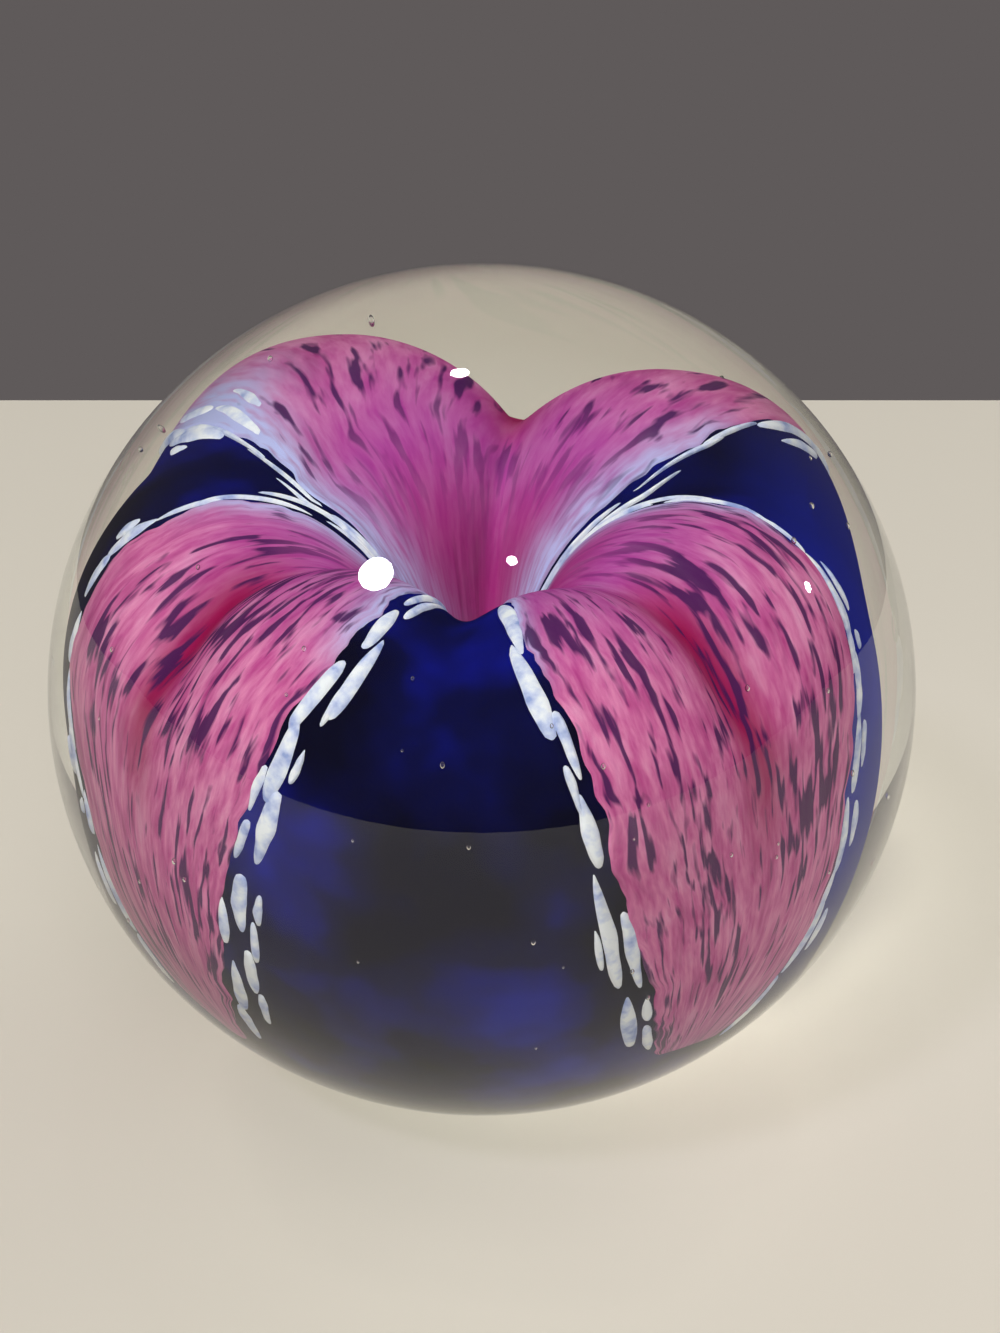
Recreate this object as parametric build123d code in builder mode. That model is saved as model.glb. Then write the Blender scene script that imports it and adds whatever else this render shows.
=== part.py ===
from build123d import *
import os
from math import radians, sqrt, tan

# Glass paperweight.  A clear ball stands on a flat ground at its foot.  Inside it lies a
# cobalt gather with six rounded lobes and a funnel in its top, where the hot glass was
# poked down with a pick.  Three pink petals lie over the gather, two lobes to a petal,
# and white enamel chips line the blue gaps between them.  All sizes are in millimetres,
# heights marked "above centre" are measured from the middle of the ball.

ball_diameter = 76.0
ball_full_height = 74.2  # before the foot was ground off, so a little oblate
foot_diameter = 40.0
foot_bevel = 0.6

bowl_radius = 23.5
bowl_centre_height = -2.0  # above centre
shoulder_start = 14.0  # degrees up the bowl's side
shoulder_radius = 6.0
funnel_floor_height = -1.0  # above centre

lobe_bearings = [294, 350, 50, 118, 172, 230]  # degrees anticlockwise from +X, as are the rest
lobe_ring_radius = 14.0  # from the ball's axis to each lobe's own axis
lobe_radius = 10.3
lobe_centre_height = 2.0  # above centre
lobe_taper = 12.0
lobe_shaft_length = 14.0

petal_names = ["petal_right", "petal_back", "petal_left"]
petal_thickness = 1.2
petal_foot_depth = 19.0  # below centre

gap_bearings = [262, 20, 148]  # each comes just before the petal named in the same place
gap_tip_radius = 7.5
gap_tip_half_angle = 30.0
gap_shoulder_height = 4.0  # above centre, where the gap turns down the side
gap_waist_half_width = 10.6
gap_waist_height = -1.0  # above centre
gap_hip_half_width = 11.6
gap_hip_depth = 7.0  # below centre
gap_foot_half_width = 12.6

chips_per_side = 6
chip_length = 3.0
chip_width = 1.5
chip_clearance = 0.3  # from the chip to its petal
chip_row_start = 0.06  # shares of the gap's side that the row of chips covers
chip_row_end = 0.52

ball_radius = ball_diameter / 2
ball_half_height = ball_full_height / 2
foot_radius = foot_diameter / 2
centre_height = ball_half_height * sqrt(1 - (foot_radius / ball_radius) ** 2)

gap_shoulder_half_width = (bowl_radius - gap_tip_radius) * tan(radians(gap_tip_half_angle))


def level(height):
    """The flat plane at a height above the middle of the ball."""
    return Plane.XY.offset(centre_height + height)


def upright(height):
    """The plane for a turned outline: x is the radius, y is measured from that height."""
    return Plane.XZ.shift_origin((0, 0, centre_height + height))


def facing(bearing, distance):
    """The upright plane that looks outwards along a bearing, at a distance from the axis."""
    outwards = Vector(1, 0, 0).rotate(Axis.Z, bearing)
    across = Vector(0, 1, 0).rotate(Axis.Z, bearing)
    return Plane(origin=(0, 0, centre_height), x_dir=across, z_dir=outwards).offset(distance)


def lobed_gather(inset):
    """The coloured gather, drawn in all over by the inset: a bowl with six lobes round it."""
    with BuildPart() as bowl:
        with BuildSketch(upright(bowl_centre_height)):
            with BuildLine():
                side = CenterArc((0, 0), bowl_radius - inset, -90, 90 + shoulder_start)
                shoulder = JernArc(side @ 1, side % 1, shoulder_radius - inset, 90 - shoulder_start)
                floor = (0, funnel_floor_height - bowl_centre_height - inset)
                Spline(shoulder @ 1, floor, tangents=[shoulder % 1, (-1, -1)])
                Line(floor, side @ 0)
            make_face()
        revolve(axis=Axis.Z)
    with BuildPart() as lobe:
        with BuildSketch(upright(lobe_centre_height)):
            with BuildLine():
                crown = CenterArc((0, 0), lobe_radius - inset, -lobe_taper, 90 + lobe_taper)
                shaft = PolarLine(crown @ 0, lobe_shaft_length, -90 - lobe_taper)
                Polyline(shaft @ 1, (0, (shaft @ 1).Y), crown @ 1)
            make_face()
        revolve(axis=Axis.Z)
    with BuildPart() as gather:
        add(bowl.part)
        for bearing in lobe_bearings:
            with PolarLocations(lobe_ring_radius, 1, bearing):
                add(lobe.part)
    return gather.part


whole_gather = lobed_gather(0)
under_petals = lobed_gather(petal_thickness)

# The gather's outer layer, in which the petals and the enamel chips lie.
with BuildPart() as skin:
    add(whole_gather)
    add(under_petals, mode=Mode.SUBTRACT)

# One side of a gap, seen from outside: from the shoulder over the waist to the foot.
with BuildLine() as gap_side:
    shoulder = (gap_shoulder_half_width, gap_shoulder_height)
    waist = (gap_waist_half_width, gap_waist_height)
    hip = (gap_hip_half_width, -gap_hip_depth)
    ThreePointArc(shoulder, waist, hip)
    Line(hip, (gap_foot_half_width, -ball_half_height))

# The three blue gaps.  Each starts in a point at the funnel, widens over the shoulder and
# flares down the side of the gather.
with BuildPart() as gaps:
    for bearing in gap_bearings:
        with BuildSketch(facing(bearing, gap_tip_radius)):
            with BuildLine():
                add(gap_side.line)
                mirror(about=Plane.YZ)
                Line((-gap_shoulder_half_width, gap_shoulder_height), gap_side.line @ 0)
                Line((-gap_foot_half_width, -ball_half_height), gap_side.line @ 1)
            make_face()
        extrude(amount=ball_radius)
        with BuildSketch(level(gap_shoulder_height)):
            with BuildLine():
                tip = PolarLine((0, 0), gap_tip_radius, bearing, mode=Mode.PRIVATE) @ 1
                first = PolarLine(tip, ball_radius, bearing - gap_tip_half_angle)
                last = PolarLine(tip, ball_radius, bearing + gap_tip_half_angle)
                Line(first @ 1, last @ 1)
            make_face()
        extrude(amount=ball_half_height)

# The places of one gap's enamel chips, seen from outside, each turned along the gap's side.
side_wire = gap_side.wire()
chip_places = []
for number in range(chips_per_side):
    share = chip_row_start + (chip_row_end - chip_row_start) * number / (chips_per_side - 1)
    spot = side_wire @ share
    turn = side_wire.tangent_angle_at(share)
    inwards = Vector(0, -1, 0).rotate(Axis.Z, turn) * (chip_width / 2 + chip_clearance)
    place = spot + inwards
    chip_places.append(Location((place.X, place.Y, 0), (0, 0, turn)))
    chip_places.append(Location((-place.X, place.Y, 0), (0, 0, -turn)))

os.makedirs("parts", exist_ok=True)

# Petals: pink glass over two lobes each, from the funnel down to the foot of the gather.
petals = []
next_gaps = gap_bearings[1:] + gap_bearings[:1]
for name, start, end in zip(petal_names, gap_bearings, next_gaps):
    with BuildPart() as petal:
        add(skin.part)
        with BuildSketch(Plane.XY):
            with BuildLine():
                first = PolarLine((0, 0), ball_diameter, start)
                last = PolarLine((0, 0), ball_diameter, end)
                Line(first @ 1, last @ 1)
            make_face()
        extrude(amount=ball_full_height, mode=Mode.INTERSECT)
        add(gaps.part, mode=Mode.SUBTRACT)
        split(bisect_by=level(-petal_foot_depth), keep=Keep.TOP)
    petal.part.label = name
    export_step(petal.part, f"parts/{name}.step")
    petals.append(petal.part)

# Enamel chips: slips of white glass picked up by the hot gather and rolled in flush.
with BuildPart() as enamel_chips:
    for bearing in gap_bearings:
        with BuildSketch(facing(bearing, gap_tip_radius)):
            with Locations(*chip_places):
                Ellipse(chip_length / 2, chip_width / 2)
        extrude(amount=ball_radius)
    add(skin.part, mode=Mode.INTERSECT)
enamel_chips.part.label = "enamel_chips"
export_step(enamel_chips.part, "parts/enamel_chips.step")

# Cobalt gather: the dark blue glass that the petals and chips are bedded in.
with BuildPart() as cobalt_gather:
    add(whole_gather)
    add(petals, mode=Mode.SUBTRACT)
    add(enamel_chips.part, mode=Mode.SUBTRACT)
cobalt_gather.part.label = "cobalt_gather"
export_step(cobalt_gather.part, "parts/cobalt_gather.step")

# Clear casing: the last gather of clear glass, blocked to a ball over the coloured one,
# with its foot ground and polished flat.
with BuildPart() as ball:
    Sphere(ball_radius)
    scale(by=(1, 1, ball_full_height / ball_diameter))
with BuildPart() as clear_casing:
    with Locations((0, 0, centre_height)):
        add(ball.part)
    split(bisect_by=Plane.XY, keep=Keep.TOP)
    chamfer(clear_casing.faces().sort_by(Axis.Z)[0].edges(), foot_bevel)
    add(whole_gather, mode=Mode.SUBTRACT)
clear_casing.part.label = "clear_casing"
export_step(clear_casing.part, "parts/clear_casing.step")
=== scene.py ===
import math

import bpy
import numpy as np
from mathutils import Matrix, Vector


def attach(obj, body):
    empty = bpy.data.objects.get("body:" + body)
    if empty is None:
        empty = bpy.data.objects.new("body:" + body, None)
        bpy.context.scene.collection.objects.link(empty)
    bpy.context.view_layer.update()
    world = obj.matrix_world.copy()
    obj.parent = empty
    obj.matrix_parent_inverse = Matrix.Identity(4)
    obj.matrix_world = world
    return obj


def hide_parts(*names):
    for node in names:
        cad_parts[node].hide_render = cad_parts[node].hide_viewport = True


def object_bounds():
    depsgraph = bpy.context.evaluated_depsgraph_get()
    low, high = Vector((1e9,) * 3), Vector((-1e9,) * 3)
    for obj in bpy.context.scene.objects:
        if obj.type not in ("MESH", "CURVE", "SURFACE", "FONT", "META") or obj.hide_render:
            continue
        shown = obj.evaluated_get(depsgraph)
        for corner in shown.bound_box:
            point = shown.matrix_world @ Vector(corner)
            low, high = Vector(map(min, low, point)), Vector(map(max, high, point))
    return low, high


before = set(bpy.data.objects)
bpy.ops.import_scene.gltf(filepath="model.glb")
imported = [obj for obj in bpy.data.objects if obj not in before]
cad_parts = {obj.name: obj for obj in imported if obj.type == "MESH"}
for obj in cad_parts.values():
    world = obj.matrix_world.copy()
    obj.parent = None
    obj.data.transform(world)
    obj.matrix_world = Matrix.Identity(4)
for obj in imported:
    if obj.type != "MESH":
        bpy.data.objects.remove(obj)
cad_low, cad_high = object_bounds()

# ---------------------------------------------------------------- cobalt gather
# The dark blue gather at the heart of the ball: soda-lime glass coloured with cobalt, rolled
# to a ball on the pipe, drawn into six lobes, and poked down in the middle with a pick.
MM = 0.001
ball_half_height = 37.1  # of the casing before its foot was ground, in mm
centre_z = cad_high.z / MM - ball_half_height

# One row a lobe, front right first and anticlockwise: its bearing, its distance from the
# axis, its radius and the height of its middle above the ball's centre, in mm.
LOBES = [
    (294, 14.0, 10.3, 2.0),
    (350, 13.6, 10.3, 2.6),
    (50, 14.0, 10.3, 1.6),
    (118, 14.2, 10.3, 2.2),
    (172, 14.5, 10.3, 1.2),
    (230, 14.0, 10.3, 2.2),
]
LOBE_MELT = 1.2  # how far a crease is melted round
BOWL_CENTRE = np.array([-0.3, 0.0, -2.0])
BOWL_RADIUS = 23.5
BOWL_MELT = 3.0
GAPS = [262, 20, 148]  # the bearings of the three blue gaps between the petals
FUNNEL_FLOOR = -1.0
FUNNEL_RIM = 6.6
FUNNEL_WIDTH = 16.0
FUNNEL_LEAN = 0.8  # turns the height over the funnel into about the distance to its side
RIM_SWAY = 2.6  # how far the rim stands higher at a gap and lower at a petal's crease
PIVOT = np.array([0.0, 0.0, -7.0])  # rays from here cross the gather's surface once
RAY_START, RAY_END, RAY_STEPS, RAY_HALVINGS = 3.0, 34.0, 40, 16
NORMAL_STEP = 0.05


def melt(a, b, width):
    """The union of two distance fields, with the corner between them melted round."""
    h = np.clip(0.5 + 0.5 * (b - a) / width, 0, 1)
    return b + (a - b) * h - width * h * (1 - h)


# Bearing against the turn of a wave that crests at each gap.
GAP_TURN = (
    [GAPS[2] - 360, GAPS[0] - 360, GAPS[1], GAPS[2], GAPS[0]],
    [0, 2 * math.pi, 4 * math.pi, 6 * math.pi, 8 * math.pi],
)


def gather_field(p):
    """Distance-like field of the coloured gather, negative inside it. Points are in mm from the centre."""
    r = np.hypot(p[..., 0], p[..., 1])
    bowl = np.linalg.norm(p - BOWL_CENTRE, axis=-1) - BOWL_RADIUS
    slope = np.clip(r / FUNNEL_WIDTH, 0, 1)
    turn = np.interp(np.degrees(np.arctan2(p[..., 1], p[..., 0])), *GAP_TURN)
    rim = FUNNEL_RIM + RIM_SWAY * np.cos(turn)
    funnel = FUNNEL_FLOOR + (rim - FUNNEL_FLOOR) * np.sin(slope * math.pi / 2)
    top = (p[..., 2] - funnel) * FUNNEL_LEAN
    bowl = -melt(-bowl, -top, BOWL_MELT)
    lobes = None
    for bearing, ring, radius, height in LOBES:
        a = math.radians(bearing)
        centre = np.array([ring * math.cos(a), ring * math.sin(a), height])
        d = np.linalg.norm((p - centre), axis=-1) - radius
        lobes = d if lobes is None else melt(lobes, d, LOBE_MELT)
    return melt(bowl, lobes, BOWL_MELT)


def gather_point(bearing, pitch, raised=0.0):
    """The gather's surface along a ray from the pivot, raised square to the surface by a height.

    The ray has a bearing and a pitch in degrees.
    """
    b, e = np.radians(bearing), np.radians(pitch)
    ray = np.stack([np.cos(b) * np.cos(e), np.sin(b) * np.cos(e), np.sin(e)], axis=-1)
    hit = np.full(ray.shape[:-1], RAY_START)
    found = np.zeros(hit.shape, bool)
    reach_step = (RAY_END - RAY_START) / RAY_STEPS
    for i in range(RAY_STEPS):
        t = RAY_END - reach_step * i
        inside = gather_field(PIVOT + ray * t) < 0
        hit = np.where(inside & ~found, t, hit)
        found |= inside
    near, far = hit, hit + reach_step
    for _ in range(RAY_HALVINGS):
        middle = (near + far) / 2
        inside = gather_field(PIVOT + ray * middle[..., None]) < 0
        near = np.where(inside, middle, near)
        far = np.where(inside, far, middle)
    spot = PIVOT + ray * near[..., None]
    if np.ndim(raised) == 0 and raised == 0:
        return spot
    slope = [gather_field(spot + step) - gather_field(spot - step) for step in np.eye(3) * NORMAL_STEP]
    normal = np.stack(slope, axis=-1)
    normal = normal / np.linalg.norm(normal, axis=-1, keepdims=True)
    return spot + normal * np.asarray(raised, float)[..., None]


def in_metres(points):
    """Points in mm from the ball's centre, as places in the frame in metres."""
    return (points + np.array([0, 0, centre_z])) * MM


def make_mesh(name, verts, faces, body="root"):
    """A smooth mesh piece from its vertices in metres and its faces, riding on a body."""
    mesh = bpy.data.meshes.new(name)
    mesh.from_pydata([tuple(v) for v in verts], [], faces)
    mesh.validate()
    mesh.polygons.foreach_set("use_smooth", [True] * len(mesh.polygons))
    piece = bpy.data.objects.new(name, mesh)
    bpy.context.scene.collection.objects.link(piece)
    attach(piece, body)
    return piece


def globe(name, surface, around, rings):
    """A closed mesh from a surface(bearing, pitch), with a pole at its top and foot."""
    bearing = np.arange(around) * 360 / around
    pitch = np.linspace(-90, 90, rings + 1)[1:-1]
    b, e = np.meshgrid(bearing, pitch)
    verts = surface(b, e).reshape(-1, 3)
    poles = surface(np.array([0.0, 0.0]), np.array([-90.0, 90.0]))
    verts = np.vstack([verts, poles])
    foot, top = len(verts) - 2, len(verts) - 1
    faces = []
    for i in range(rings - 2):
        for j in range(around):
            k = (j + 1) % around
            faces.append((i * around + j, i * around + k, (i + 1) * around + k, (i + 1) * around + j))
    last = (rings - 2) * around
    for j in range(around):
        k = (j + 1) % around
        faces.append((k, j, foot))
        faces.append((last + j, last + k, top))
    return make_mesh(name, in_metres(verts), faces)


gather = globe("cobalt_heart", gather_point, 300, 200)
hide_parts("cobalt_gather")


def srgb(code):
    """A hex colour as it looks on a screen, as linear red, green, blue and alpha."""
    parts = [int(code[i : i + 2], 16) / 255 for i in (1, 3, 5)]
    return [c / 12.92 if c <= 0.04045 else ((c + 0.055) / 1.055) ** 2.4 for c in parts] + [1.0]


def new_material(name):
    """An empty node material."""
    material = bpy.data.materials.new(name)
    material.use_nodes = True
    material.node_tree.nodes.clear()
    return material


def add_node(owner, kind, settings=None, **inputs):
    """Adds a node. Inputs are named, or numbered as n0, n1; each is a socket to join or a value."""
    node = owner.node_tree.nodes.new(kind)
    for key, value in (settings or {}).items():
        if key == "stops":
            while len(node.color_ramp.elements) < len(value):
                node.color_ramp.elements.new(1.0)
            for element, (position, colour) in zip(node.color_ramp.elements, value):
                element.position = position
                element.color = srgb(colour)
        else:
            setattr(node, key, value)
    for key, value in inputs.items():
        name = int(key[1:]) if key[1:].isdigit() else key.replace("_", " ")
        if isinstance(value, bpy.types.NodeSocket):
            owner.node_tree.links.new(value, node.inputs[name])
        else:
            node.inputs[name].default_value = value
    return node


# Cobalt soda-lime glass, gathered hot: nearly black where it is thick, with drifts of clearer
# blue. Clear glass is fused on to it, so it has no gloss of its own.
cobalt = new_material("cobalt_glass_gathered")
where = add_node(cobalt, "ShaderNodeTexCoord").outputs["Object"]
DRIFT_MM = 12.0
drift = add_node(cobalt, "ShaderNodeTexNoise", Vector=where, Scale=1 / (DRIFT_MM * MM), Detail=3.0)
blue = add_node(
    cobalt,
    "ShaderNodeValToRGB",
    {"stops": [(0.38, "#03041E"), (0.5, "#05083C"), (0.6, "#080E6A"), (0.72, "#0E1C98")]},
    Fac=drift.outputs[0],
)
# Painted backlight glow: towards +x the blue is mixed to a brighter, clearer blue. It stands in for light
# from behind at the right shining through the thinner glass there.
sides = add_node(cobalt, "ShaderNodeSeparateXYZ", Vector=where)
painted_backlight_glow = add_node(
    cobalt,
    "ShaderNodeMapRange",
    {"interpolation_type": "SMOOTHSTEP"},
    Value=sides.outputs[0],
    n1=13 * MM,
    n2=24 * MM,
    n3=0.0,
    n4=0.6,
)
cobalt_colour = add_node(
    cobalt,
    "ShaderNodeMix",
    {"data_type": "RGBA"},
    n0=painted_backlight_glow.outputs[0],
    n6=blue.outputs[0],
    n7=srgb("#1628B4"),
)
glass = add_node(
    cobalt,
    "ShaderNodeBsdfPrincipled",
    Base_Color=cobalt_colour.outputs[2],
    Roughness=0.6,
    Specular_IOR_Level=0.0,
)
add_node(cobalt, "ShaderNodeOutputMaterial", Surface=glass.outputs[0])
gather.data.materials.append(cobalt)

# ---------------------------------------------------------------- petals
# Three petals of pink frit, rolled on to the hot blue gather and stretched over two lobes
# each. Where the grains of frit pulled apart, the blue shows between them as dark streaks.
PATTERN_WIDTH = 34  # of the frit's pattern, from one side of a petal to the other
PETAL_DEPTH = 0.9
PETAL_RISE = 0.12
EDGE_SINK = 0.5
RAGGED_WIDTH = 1.6  # how far in from its edge a petal is drawn aside by its ragged edge
EDGE_ROUND = 0.35  # how wide the petal's edge rounds down into the gather
FOOT_PITCH = -44  # where the petals end, under the gather
FOOT_ROUND = 4
FOOT_SINK = 0.6

# Half widths of the gaps in mm, from the foot up to the bottom of the funnel: one row for
# each side of each gap, clockwise side first.
EDGE_PITCH = [-60, -45, -28, -15, 0, 9, 15, 22, 27, 33, 40, 48, 58, 66, 74, 90]
GAP_SIDES = {
    (262, -1): [10, 12.5, 14, 14.3, 14.4, 13.8, 13, 12, 11, 9.9, 7.8, 5.6, 3.7, 2.2, 1, 0.02],
    (262, 1): [10, 12, 12.8, 13.2, 12.8, 12.2, 11.8, 11, 10.2, 9, 7.4, 5.4, 3.6, 2.2, 1, 0.02],
    (20, -1): [8, 10, 11, 11.5, 12, 12.6, 12.8, 12.3, 11.3, 10, 8, 5.5, 3.5, 2.2, 1, 0.02],
    (20, 1): [10, 12, 12, 12, 12, 11.5, 11, 10.5, 10, 8.8, 6.8, 4.2, 1.9, 1.2, 0.8, 0.02],
    (148, -1): [10, 12, 12, 12, 11.5, 10, 8.5, 6.5, 5, 3.5, 2.6, 0.5, -2.4, -1.8, -0.8, 0.02],
    (148, 1): [10, 12, 12.5, 12.5, 12.5, 12, 11.5, 11, 10.5, 9.8, 8.4, 6.6, 4.6, 3.2, 1.4, 0.02],
}
rng = np.random.default_rng(7)


def wander(count, knots):
    """A random wavering line of values between -1 and 1."""
    return np.interp(np.linspace(0, knots - 1, count), np.arange(knots), rng.uniform(-1, 1, knots))


def smooth_step(value, low, high):
    """0 below low, 1 above high, and eased between."""
    t = np.clip((value - low) / (high - low), 0, 1)
    return t * t * (3 - 2 * t)


def edge_bearing(gap, side, pitch, inwards=0.0):
    """The bearing of a petal's edge beside a gap, or of a line that far inside the gap."""
    half = np.interp(pitch, EDGE_PITCH, GAP_SIDES[(gap, side)]) - inwards
    bearing = np.full(np.shape(pitch), float(gap))
    for _ in range(5):
        spot = gather_point(bearing, pitch)
        radius = np.maximum(np.hypot(spot[..., 0], spot[..., 1]), 0.5)
        bearing = gap + side * np.degrees(np.arcsin(np.clip(half / radius, -0.98, 0.98)))
    return bearing


def bedded_shell(bearing, pitch, rise, sink):
    """Vertices and faces of a closed shell over a grid of the gather: its top raised, its underside sunk."""
    rows, columns = bearing.shape
    top = gather_point(bearing, pitch, rise)
    under = gather_point(bearing, pitch, -sink)
    verts = np.vstack([top.reshape(-1, 3), under.reshape(-1, 3)])
    n = rows * columns
    faces = []
    for i in range(rows - 1):
        for j in range(columns - 1):
            a = i * columns + j
            faces.append((a, a + columns, a + columns + 1, a + 1))
            faces.append((n + a, n + a + 1, n + a + columns + 1, n + a + columns))
        a, b = i * columns, i * columns + columns - 1
        faces.append((a, n + a, n + a + columns, a + columns))
        faces.append((b, b + columns, n + b + columns, n + b))
    for j in range(columns - 1):
        a, b = j, (rows - 1) * columns + j
        faces.append((a, a + 1, n + a + 1, n + a))
        faces.append((b, n + b, n + b + 1, b + 1))
    return verts, faces


def lobe_crease(p):
    """1 where two neighbouring lobes meet, falling to 0 on their backs."""
    nearness = []
    for bearing, ring, radius, height in LOBES:
        a = math.radians(bearing)
        centre = np.array([ring * math.cos(a), ring * math.sin(a), height])
        nearness.append(np.linalg.norm(p - centre, axis=-1) - radius)
    first, second = np.sort(np.stack(nearness), axis=0)[:2]
    return np.exp(-(((second - first) / 2.2) ** 2))


def make_petal(name, start, end, start_band, end_band, cloud):
    """One petal between two gaps. The bands are the widths in mm of its pale edges in the funnel."""
    pitch = np.concatenate([np.linspace(89, 40, 90), np.linspace(39.4, FOOT_PITCH, 110)])
    rows, columns = len(pitch), 120
    first = edge_bearing(start, 1, pitch)
    last = edge_bearing(end, -1, pitch)
    last = last + 360 * (last < first)
    even = np.linspace(0, 1, columns)
    share = (even + (1 - np.cos(even * math.pi)) / 2) / 2
    bearing = first[:, None] + (last - first)[:, None] * share
    grid_pitch = np.repeat(pitch[:, None], columns, axis=1)
    skin = gather_point(bearing, grid_pitch)
    radius = np.hypot(skin[..., 0], skin[..., 1])
    width = np.radians(last - first)[:, None] * radius
    from_start, from_end = share * width, (1 - share) * width
    from_edge = np.minimum(from_start, from_end)
    calm = smooth_step(pitch, 75, 50)
    ragged = [calm * (0.4 * wander(rows, 34) + 0.14 * wander(rows, 90)) for _ in (0, 1)]
    aside = ragged[0][:, None] * np.exp(-((from_start / RAGGED_WIDTH) ** 2))
    aside = aside + ragged[1][:, None] * np.exp(-((from_end / RAGGED_WIDTH) ** 2))
    bearing = bearing + np.degrees(aside / np.maximum(radius, 1))
    rise = PETAL_RISE - EDGE_SINK * np.clip(1 - from_edge / EDGE_ROUND, 0, 1) ** 2
    rise = rise - FOOT_SINK * (1 - np.clip((grid_pitch - FOOT_PITCH) / FOOT_ROUND, 0, 1))
    verts, faces = bedded_shell(bearing, grid_pitch, rise, PETAL_DEPTH)
    piece = make_mesh(name, in_metres(verts), faces)
    mesh = piece.data

    steps = np.linalg.norm(np.diff(skin, axis=0), axis=-1)
    along = np.vstack([np.zeros(columns), np.cumsum(steps, axis=0)])
    across = np.broadcast_to(share * PATTERN_WIDTH + start, along.shape)
    flow = np.tile(np.stack([across, along], axis=-1).reshape(-1, 2), (2, 1)) * MM
    corners = np.zeros(len(mesh.loops), int)
    mesh.loops.foreach_get("vertex_index", corners)
    mesh.uv_layers.new(name="flow").data.foreach_set("uv", flow[corners].ravel())

    inner = smooth_step(grid_pitch, 38, 52)
    pale = np.exp(-((from_start / start_band) ** 2)) + np.exp(-((from_end / end_band) ** 2))
    pale = pale * inner
    pale = pale + cloud * np.exp(-((from_end / 4.5) ** 2)) * np.exp(-(((grid_pitch - 38) / 9) ** 2))
    # Mask of the painted shade down the folds between neighbouring lobes.
    crease = lobe_crease(skin) * smooth_step(radius, 9, 17) * smooth_step(grid_pitch, -5, 30)
    for label, values in (("pale", pale), ("crease", crease), ("reach", radius)):
        values = np.tile(values.ravel(), 2)
        mesh.attributes.new(label, "FLOAT", "POINT").data.foreach_set("value", values)
    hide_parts(name)
    return piece


petals = [
    make_petal("petal_right", 262, 20, 0.8, 1.2, 0.0),
    make_petal("petal_back", 20, 148, 1.7, 2.2, 1.5),
    make_petal("petal_left", 148, 262, 1.2, 1.6, 0.0),
]

# Opaque pink soda-lime frit: pale and deep pink grains drawn out along the flow of the glass,
# painted shade in darker crimson down the folds and the funnel, and lilac where the white enamel under it
# shows through.
pink = new_material("pink_frit_glass_marvered")
flow = add_node(pink, "ShaderNodeUVMap", {"uv_map": "flow"}).outputs[0]
GRAIN_MM = 2.2
FINE_MM = 0.6
STREAK_MM = 0.9
PATCH_MM = 7.0
DRAWN_OUT = 4.5  # how many times longer a grain is than wide
long_flow = add_node(pink, "ShaderNodeMapping", Vector=flow, Scale=(1, 1 / DRAWN_OUT, 1)).outputs[0]
half_flow = add_node(pink, "ShaderNodeMapping", Vector=flow, Scale=(1, 0.4, 1)).outputs[0]
grain = add_node(
    pink,
    "ShaderNodeTexNoise",
    Vector=half_flow,
    Scale=1 / (GRAIN_MM * MM),
    Detail=4.0,
    Roughness=0.6,
    Distortion=0.2,
)
tone = add_node(
    pink,
    "ShaderNodeValToRGB",
    {"stops": [(0.3, "#A02E72"), (0.45, "#C25090"), (0.56, "#D678A8"), (0.72, "#E39DC2")]},
    Fac=grain.outputs[0],
)
fine = add_node(pink, "ShaderNodeTexNoise", Vector=long_flow, Scale=1 / (FINE_MM * MM), Detail=2.0)
fine_tone = add_node(
    pink, "ShaderNodeValToRGB", {"stops": [(0.3, "#AC4484"), (0.7, "#E8A2C6")]}, Fac=fine.outputs[0]
)
streaked = add_node(
    pink, "ShaderNodeMix", {"data_type": "RGBA"}, n0=0.3, n6=tone.outputs[0], n7=fine_tone.outputs[0]
)

# Towards the funnel the pink is stretched thin, and the blue under it turns it violet.
reach = add_node(pink, "ShaderNodeAttribute", {"attribute_name": "reach"}).outputs["Fac"]
eased = {"interpolation_type": "SMOOTHSTEP"}
thin = add_node(pink, "ShaderNodeMapRange", eased, Value=reach, n1=23.0, n2=9.0, n3=0.0, n4=0.62)
stretched = add_node(
    pink,
    "ShaderNodeMix",
    {"data_type": "RGBA"},
    n0=thin.outputs[0],
    n6=streaked.outputs[2],
    n7=srgb("#8C2C90"),
)

# Painted shade: the folds between lobes and the bottom of the funnel run to darker crimson.
crease = add_node(pink, "ShaderNodeAttribute", {"attribute_name": "crease"}).outputs["Fac"]
fold_shaded = add_node(
    pink, "ShaderNodeMix", {"data_type": "RGBA"}, n0=crease, n6=stretched.outputs[2], n7=srgb("#8E0A48")
)
painted_throat_shade = add_node(pink, "ShaderNodeMapRange", eased, Value=reach, n1=11.0, n2=2.0, n3=0.0, n4=0.85)
throat_shaded = add_node(
    pink,
    "ShaderNodeMix",
    {"data_type": "RGBA"},
    n0=painted_throat_shade.outputs[0],
    n6=fold_shaded.outputs[2],
    n7=srgb("#96125E"),
)

# Pale lilac along the edges, broken into fine drawn lines.
pale = add_node(pink, "ShaderNodeAttribute", {"attribute_name": "pale"}).outputs["Fac"]
lines = add_node(pink, "ShaderNodeMapRange", Value=fine.outputs[0], n1=0.3, n2=0.6, n3=0.45, n4=1.0)
veil = add_node(
    pink, "ShaderNodeMath", {"operation": "MULTIPLY", "use_clamp": True}, n0=pale, n1=lines.outputs[0]
)
veiled = add_node(
    pink, "ShaderNodeMix", {"data_type": "RGBA"}, n0=veil.outputs[0], n6=throat_shaded.outputs[2], n7=srgb("#B4BAE8")
)

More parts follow.
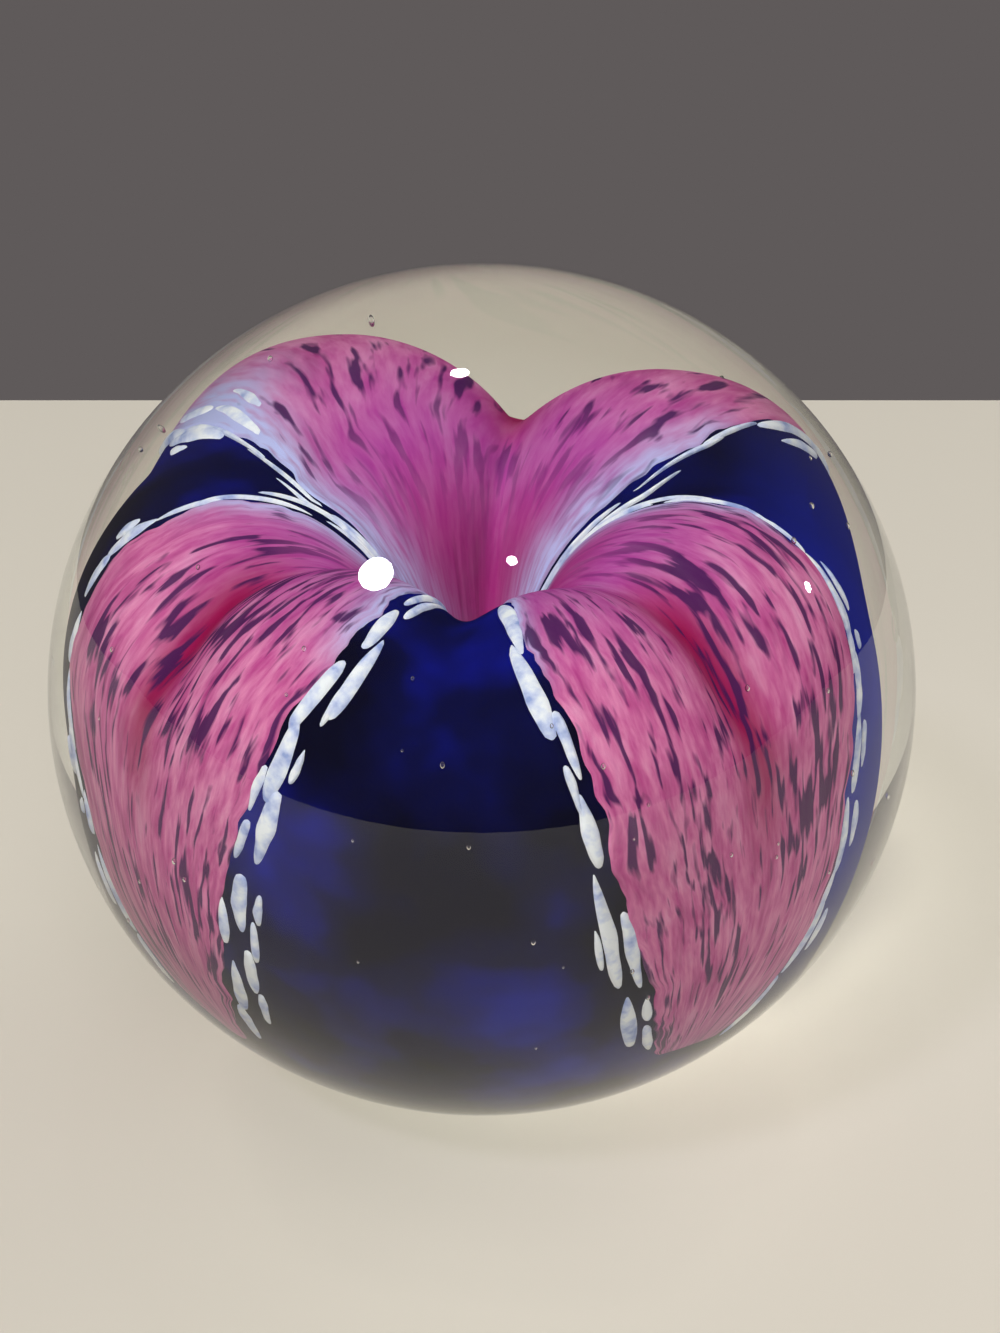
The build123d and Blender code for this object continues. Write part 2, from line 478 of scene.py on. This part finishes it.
# Gaps between the drawn grains, where the blue gather shows: in patches, and thicker outside.
patch = add_node(pink, "ShaderNodeTexNoise", Vector=half_flow, Scale=1 / (PATCH_MM * MM), Detail=1.0)
split = add_node(
    pink,
    "ShaderNodeTexNoise",
    Vector=long_flow,
    Scale=1 / (STREAK_MM * MM),
    Detail=2.0,
    Roughness=0.4,
    Distortion=0.3,
)
both = add_node(
    pink, "ShaderNodeMath", {"operation": "MULTIPLY_ADD"}, n0=patch.outputs[0], n1=0.55, n2=split.outputs[0]
)
gap_shown = add_node(pink, "ShaderNodeMapRange", Value=both.outputs[0], n1=0.82, n2=0.91, n3=0.0, n4=0.9)
away = add_node(pink, "ShaderNodeMapRange", Value=reach, n1=5.0, n2=14.0, n3=0.0, n4=1.0)
shown = add_node(
    pink, "ShaderNodeMath", {"operation": "MULTIPLY"}, n0=gap_shown.outputs[0], n1=away.outputs[0]
)
petal_colour = add_node(
    pink,
    "ShaderNodeMix",
    {"data_type": "RGBA"},
    n0=shown.outputs[0],
    n6=veiled.outputs[2],
    n7=srgb("#38164E"),
)
frit = add_node(
    pink,
    "ShaderNodeBsdfPrincipled",
    Base_Color=petal_colour.outputs[2],
    Roughness=0.55,
    Specular_IOR_Level=0.0,
)
add_node(pink, "ShaderNodeOutputMaterial", Surface=frit.outputs[0])
for petal in petals:
    petal.data.materials.append(pink)

# ---------------------------------------------------------------- enamel slips
# Slips of white enamel along both sides of each gap, picked up by the hot gather before the
# petals were laid on, and drawn out into long threads where the funnel pulled them in.
SLIP_SPREAD = 1.2  # how much wider than its row says a slip was rolled out
SLIP_SINK = 0.55
SLIP_RISE = 0.2
SLIP_ROWS, SLIP_COLUMNS = 18, 9

# One row a slip: gap, side, top and foot pitch in degrees, distance of its middle line from
# the petal's edge at its top and foot, and its half width, in mm.
SLIPS = [
    (262, -1, 72, 57, 0.2, 0.5, 0.35),
    (262, -1, 66, 54, 1.1, 1.3, 0.3),
    (262, -1, 56, 46, 0.5, 0.7, 0.5),
    (262, -1, 50, 34, 1.2, 2.4, 0.6),
    (262, -1, 44, 31, 0.3, 0.5, 0.6),
    (262, -1, 34, 20, 0.6, 1.0, 0.65),
    (262, -1, 23, 9, 1.4, 1.8, 0.7),
    (262, -1, 17, 9, 0.2, 0.3, 0.4),
    (262, -1, 7, -6, 0.9, 1.3, 0.65),
    (262, -1, 4, -3, 2.4, 2.5, 0.35),
    (262, -1, 1, -10, -0.1, 0.1, 0.45),
    (262, -1, -9, -21, 1.6, 1.9, 0.5),
    (262, -1, -12, -28, 0.5, 0.9, 0.6),
    (262, 1, 62, 47, 0.3, 0.5, 0.5),
    (262, 1, 51, 33, 0.9, 1.1, 0.7),
    (262, 1, 38, 27, 0.2, 0.3, 0.4),
    (262, 1, 26, 13, 0.7, 0.9, 0.55),
    (262, 1, 14, -14, 1.3, 1.6, 0.55),
    (262, 1, 5, -15, 0.2, 0.4, 0.5),
    (262, 1, -15, -34, 1.2, 1.3, 0.6),
    (262, 1, -17, -25, 0.1, 0.2, 0.4),
    (262, -1, 41, 33, 1.6, 2.2, 0.3),
    (262, -1, 30, 24, 1.9, 2.0, 0.3),
    (262, -1, 26, 18, -0.1, 0.1, 0.35),
    (262, -1, -2, -12, 2.1, 2.2, 0.35),
    (262, -1, -20, -30, 2.2, 2.4, 0.35),
    (262, -1, -26, -38, 0.6, 1.0, 0.5),
    (262, 1, 30, 22, 0.9, 1.0, 0.3),
    (262, 1, 2, -8, 2.2, 2.3, 0.25),
    (262, 1, -26, -37, 0.3, 0.4, 0.4),
]
for gap, side in [key for key in GAP_SIDES if key[0] != GAPS[0]]:
    for inset, top, foot in ((0.2, 80, 60), (0.9, 70, 52), (0.2, 60, 45), (0.1, 49, 39)):
        SLIPS.append((gap, side, top, foot, inset, inset + 0.2, rng.uniform(0.13, 0.2)))
    top = 40.0
    while top > -30:
        length = rng.uniform(7, 15)
        inset = rng.uniform(0.1, 1.0)
        drift = rng.uniform(-0.1, 0.5)
        SLIPS.append((gap, side, top, top - length, inset, inset + drift, rng.uniform(0.35, 0.65)))
        if rng.uniform() < 0.6:
            inset = inset + rng.uniform(1.0, 1.6)
            width = rng.uniform(0.25, 0.45)
            SLIPS.append((gap, side, top - 3, top - length * 0.8, inset, inset + 0.3, width))
        top -= length * rng.uniform(0.6, 1.1)

# A cloud of wider patches where the back petal's edge comes over its left lobe.
SLIPS += [
    (148, -1, 47, 37, -1.0, -1.4, 0.5),
    (148, -1, 42, 31, 0.5, 0.9, 0.6),
    (148, -1, 45, 38, -2.6, -2.9, 0.4),
    (148, -1, 38, 30, -1.4, -1.0, 0.5),
]

slip_verts, slip_faces = [], []
for gap, side, top, foot, inset_top, inset_foot, half_width in SLIPS:
    along = np.linspace(0, 1, SLIP_ROWS)
    taper = rng.uniform(0.35, 0.65)  # where along the slip it is widest
    bent = along ** (math.log(0.5) / math.log(taper))
    oval = np.sqrt(np.clip(1 - (2 * bent - 1) ** 2, 0.0004, 1))
    outline = SLIP_SPREAD * half_width * oval * (1 + 0.12 * wander(SLIP_ROWS, 7))
    pitch = top + (foot - top) * along
    inset = inset_top + (inset_foot - inset_top) * along
    aside = np.linspace(-1, 1, SLIP_COLUMNS)
    middle = edge_bearing(gap, side, pitch, inset)
    radius = np.hypot(*np.moveaxis(gather_point(middle, pitch)[..., :2], -1, 0))
    turn = np.degrees(outline / np.maximum(radius, 0.8))
    bearing = middle[:, None] + turn[:, None] * aside
    grid_pitch = np.repeat(pitch[:, None], SLIP_COLUMNS, axis=1)
    fullness = (1 - aside**2) * (outline / half_width)[:, None]
    rise = -0.15 + (0.15 + SLIP_RISE) * np.clip(fullness, 0, 1) ** 0.7
    verts, faces = bedded_shell(bearing, grid_pitch, rise, SLIP_SINK)
    slip_faces += [tuple(k + len(slip_verts) * len(verts) for k in face) for face in faces]
    slip_verts.append(in_metres(verts))
slips = make_mesh("enamel_slips", np.vstack(slip_verts), slip_faces)
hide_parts("enamel_chips")

# White opal enamel, fused: milky, bluer where it is thin and the blue gather shows through it.
enamel = new_material("white_opal_enamel_fused")
where = add_node(enamel, "ShaderNodeTexCoord").outputs["Object"]
milk = add_node(enamel, "ShaderNodeTexNoise", Vector=where, Scale=1 / (1.6 * MM), Detail=3.0, Roughness=0.55)
white = add_node(
    enamel,
    "ShaderNodeValToRGB",
    {"stops": [(0.32, "#96A6DA"), (0.45, "#CBD4EF"), (0.6, "#EDF1F8")]},
    Fac=milk.outputs[0],
)
body = add_node(
    enamel, "ShaderNodeBsdfPrincipled", Base_Color=white.outputs[0], Roughness=0.5, Specular_IOR_Level=0.0
)
add_node(enamel, "ShaderNodeOutputMaterial", Surface=body.outputs[0])
slips.data.materials.append(enamel)

# ---------------------------------------------------------------- seed bubbles
# Seeds: pin-prick bubbles of air that the last gather trapped over the petals, drawn out a
# little down the sides as the ball was turned.
SEEDS = 60
SEED_AROUND, SEED_RINGS = 10, 7
SEED_DRAWN = 1.35  # how many times taller a seed is than wide
seed_verts, seed_faces = [], []
ring_turns = np.arange(SEED_AROUND) * 2 * math.pi / SEED_AROUND
ring_tilts = np.linspace(-math.pi / 2, math.pi / 2, SEED_RINGS + 1)[1:-1]
unit = [
    [math.cos(t) * math.cos(a), math.cos(t) * math.sin(a), math.sin(t)]
    for t in ring_tilts
    for a in ring_turns
]
unit = np.array(unit + [[0, 0, -1], [0, 0, 1]]) * [1, 1, SEED_DRAWN]
crown = (SEED_RINGS - 2) * SEED_AROUND
seed_shape = []
for j in range(SEED_AROUND):
    k = (j + 1) % SEED_AROUND
    seed_shape.append((k, j, len(unit) - 2))
    seed_shape.append((crown + j, crown + k, len(unit) - 1))
    for i in range(0, crown, SEED_AROUND):
        seed_shape.append((i + j, i + k, i + SEED_AROUND + k, i + SEED_AROUND + j))
for number in range(SEEDS):
    spot = gather_point(rng.uniform(0, 360), rng.uniform(-25, 44), rng.uniform(0.3, 1.2))
    radius = rng.uniform(0.09, 0.2)
    seed_faces += [tuple(v + number * len(unit) for v in face) for face in seed_shape]
    seed_verts.append(in_metres(spot + unit * radius))
seeds = make_mesh("seed_bubbles", np.vstack(seed_verts), seed_faces)

# Air in clear glass: light bends the other way at its wall, so a seed has a dark rim and a bright
# middle. Its wall is a trace uneven.
SEED_IOR = 1 / 1.5
air = new_material("air_seed_in_clear_glass")
where = add_node(air, "ShaderNodeTexCoord").outputs["Object"]
uneven = add_node(air, "ShaderNodeTexNoise", Vector=where, Scale=1 / (0.2 * MM), Detail=0.0)
wall = add_node(air, "ShaderNodeBump", Strength=0.1, Distance=0.01 * MM, Height=uneven.outputs[0])
bubble = add_node(
    air,
    "ShaderNodeBsdfPrincipled",
    Base_Color=srgb("#FFFFFF"),
    Roughness=0.0,
    IOR=SEED_IOR,
    Transmission_Weight=1.0,
    Normal=wall.outputs[0],
)
air_shade = add_node(air, "ShaderNodeBsdfTransparent")
air_path = add_node(air, "ShaderNodeLightPath")
air_lit = add_node(
    air,
    "ShaderNodeMixShader",
    n0=air_path.outputs["Is Shadow Ray"],
    n1=bubble.outputs[0],
    n2=air_shade.outputs[0],
)
add_node(air, "ShaderNodeOutputMaterial", Surface=air_lit.outputs[0])
seeds.data.materials.append(air)

# ---------------------------------------------------------------- clear casing
# The last gather of clear soda-lime glass, blocked to a ball in a wet wooden block over the
# coloured heart, then ground flat and polished at its foot.
ball_radius = min(cad_high.x, cad_high.y, -cad_low.x, -cad_low.y) / MM
FOOT_RADIUS = 20.0
FOOT_BEVEL = 0.6
CASING_AROUND, CASING_RINGS = 320, 150

steepness = (ball_radius / ball_half_height) ** 2 * centre_z / FOOT_RADIUS
bevel_height = FOOT_BEVEL / math.hypot(1, steepness)
heights = -ball_half_height * np.cos(
    np.linspace(math.acos((centre_z - bevel_height) / ball_half_height), math.pi, CASING_RINGS)
)
outline = [(FOOT_RADIUS - FOOT_BEVEL, -centre_z)]
outline += [(ball_radius * math.sqrt(max(0, 1 - (z / ball_half_height) ** 2)), z) for z in heights[:-1]]
turns = np.arange(CASING_AROUND) * 2 * math.pi / CASING_AROUND
rings = [
    np.stack([r * np.cos(turns), r * np.sin(turns), np.full(CASING_AROUND, z)], axis=-1) for r, z in outline
]
casing_verts = np.vstack(rings + [[[0, 0, -centre_z], [0, 0, ball_half_height]]])
foot, top = len(casing_verts) - 2, len(casing_verts) - 1
casing_faces = []
last = (len(outline) - 1) * CASING_AROUND
for j in range(CASING_AROUND):
    k = (j + 1) % CASING_AROUND
    casing_faces.append((k, j, foot))
    for i in range(0, last, CASING_AROUND):
        casing_faces.append((i + j, i + k, i + CASING_AROUND + k, i + CASING_AROUND + j))
    casing_faces.append((last + j, last + k, top))
casing = make_mesh("clear_ball", in_metres(casing_verts), casing_faces)
for polygon in casing.data.polygons:
    low = max(casing.data.vertices[v].co.z for v in polygon.vertices) < (bevel_height + 0.05) * MM
    polygon.use_smooth = not low
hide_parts("clear_casing")

# Clear soda-lime glass, fire polished: smooth and bright, with the faintest waviness from the wet
# block. Lamps reach the coloured glass inside through a shadow of slightly grey glass.
casing_glass = new_material("clear_soda_lime_glass_fire_polished")
CLEAR_IOR = 1.5
where = add_node(casing_glass, "ShaderNodeTexCoord").outputs["Object"]
wave = add_node(casing_glass, "ShaderNodeTexNoise", Vector=where, Scale=1 / (9 * MM), Detail=1.0)
skin_wave = add_node(
    casing_glass, "ShaderNodeBump", Strength=0.05, Distance=0.02 * MM, Height=wave.outputs[0]
)
clear = add_node(
    casing_glass,
    "ShaderNodeBsdfPrincipled",
    Base_Color=srgb("#F9FBF7"),
    Roughness=0.0,
    IOR=CLEAR_IOR,
    Transmission_Weight=1.0,
    Normal=skin_wave.outputs[0],
)
shade = add_node(casing_glass, "ShaderNodeBsdfTransparent", Color=srgb("#F2F2EE"))
path = add_node(casing_glass, "ShaderNodeLightPath")
lit = add_node(
    casing_glass,
    "ShaderNodeMixShader",
    n0=path.outputs["Is Shadow Ray"],
    n1=clear.outputs[0],
    n2=shade.outputs[0],
)
add_node(casing_glass, "ShaderNodeOutputMaterial", Surface=lit.outputs[0])
casing.data.materials.append(casing_glass)

# ---------------------------------------------------------------- table, lamps and camera
# A plain cream table top that ends in front of and behind the ball, a grey room round it, a
# round lamp high at the front left, and a wide soft one overhead.
bpy.context.scene.view_settings.view_transform = "Standard"
TABLE = (-1.5, 1.5, -0.42, 0.162)
x0, x1, y0, y1 = TABLE
table_mesh = bpy.data.meshes.new("table_top")
table_mesh.from_pydata([(x0, y0, 0), (x1, y0, 0), (x1, y1, 0), (x0, y1, 0)], [], [(0, 1, 2, 3)])
table = bpy.data.objects.new("table_top", table_mesh)
bpy.context.scene.collection.objects.link(table)
cloth = new_material("cream_table_plain")
surface = add_node(cloth, "ShaderNodeBsdfDiffuse", Color=srgb("#D2CCBE"))
add_node(cloth, "ShaderNodeOutputMaterial", Surface=surface.outputs[0])
table_mesh.materials.append(cloth)

world = bpy.data.worlds.new("grey_room")
bpy.context.scene.world = world
world.use_nodes = True
world.node_tree.nodes.clear()
room = add_node(world, "ShaderNodeBackground", Color=srgb("#5F5A5A"), Strength=1.0)
add_node(world, "ShaderNodeOutputWorld", Surface=room.outputs[0])


def add_lamp(name, towards, distance, size, power, mirrored):
    """A disc lamp that shines on the ball from a direction. Only a mirrored one shows in the glass."""
    data = bpy.data.lights.new(name, "AREA")
    data.shape = "DISK"
    data.size = size
    data.energy = power
    lamp = bpy.data.objects.new(name, data)
    lamp.location = Vector((0, 0, centre_z * MM)) + Vector(towards).normalized() * distance
    lamp.rotation_euler = Vector(towards).to_track_quat("Z", "Y").to_euler()
    lamp.visible_glossy = mirrored
    lamp.visible_transmission = mirrored
    bpy.context.scene.collection.objects.link(lamp)


add_lamp("round_lamp", (-0.408, -0.450, 0.800), 1.2, 0.17, 7.6, True)
add_lamp("wide_soft_lamp", (0.2, -0.5, 1.0), 1.4, 1.4, 6.0, False)
add_lamp("low_soft_lamp", (0.15, -1.0, 0.35), 1.0, 0.9, 4.2, False)
add_lamp("side_soft_lamp", (0.9, 0.6, 0.45), 1.0, 0.6, 2.8, False)
add_lamp("small_lamp_side", (0.947, 0.21, 0.245), 1.0, 0.035, 0.25, True)
add_lamp("small_lamp_front", (0.124, -0.47, 0.885), 1.2, 0.05, 0.4, True)
add_lamp("small_lamp_behind", (-0.068, 0.44, 0.883), 1.2, 0.07, 0.6, True)

camera_data = bpy.data.cameras.new("camera")
camera_data.lens = 49.9
camera_data.sensor_width = 36
camera_data.clip_start = 0.005
camera = bpy.data.objects.new("camera", camera_data)
camera.location = (0.00156, -0.14563, centre_z * MM + 0.07971)
camera.rotation_euler = (math.radians(61.92), 0, 0)
bpy.context.scene.collection.objects.link(camera)
bpy.context.scene.camera = camera
